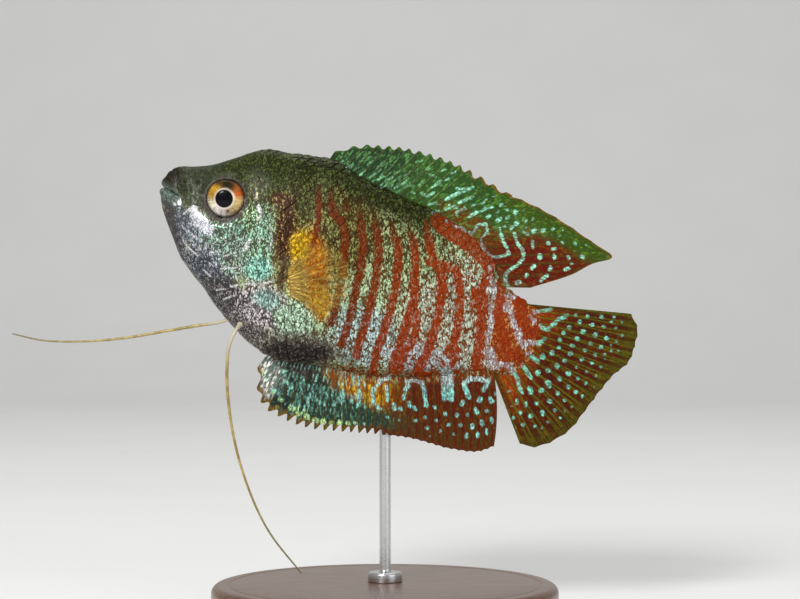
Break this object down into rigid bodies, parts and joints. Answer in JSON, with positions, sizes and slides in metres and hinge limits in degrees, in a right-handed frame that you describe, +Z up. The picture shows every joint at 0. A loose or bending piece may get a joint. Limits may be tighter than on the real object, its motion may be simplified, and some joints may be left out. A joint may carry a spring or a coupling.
{
  "type": "dwarf gourami display model",
  "caption": "Still, life-size dwarf gourami with its fins spread and its feelers out, nose raised, held over a round wooden base by one thin steel rod.",
  "frame": {"origin": "centre of the underside of the stand's round base", "axes": "+Z up, +X from the head towards the tail, so the fish faces -X and its left flank faces -Y"},
  "size_m": [0.0946, 0.052, 0.0709],
  "materials": {
    "skin": "scaled, wet sheen",
    "fin": "thin ribbed membrane",
    "eye": "clear and glossy",
    "feeler": "smooth",
    "stand_wood": "dark satin varnish",
    "stand_steel": "brushed"
  },
  "bodies": {
    "root": {"head": "skin", "torso": "skin", "tail_stalk": "skin", "gill_cover_left": "skin", "gill_cover_right": "skin", "eye_left": "eye", "eye_right": "eye", "dorsal_fin": "fin", "anal_fin": "fin", "caudal_fin": "fin", "pectoral_fin_left": "fin", "pectoral_fin_right": "fin", "feeler_left_1": "feeler", "feeler_left_2": "feeler", "feeler_left_3": "feeler", "feeler_right_1": "feeler", "feeler_right_2": "feeler", "feeler_right_3": "feeler", "stand_base": "stand_wood", "stand_rod": "stand_steel"}
  },
  "joints": []
}
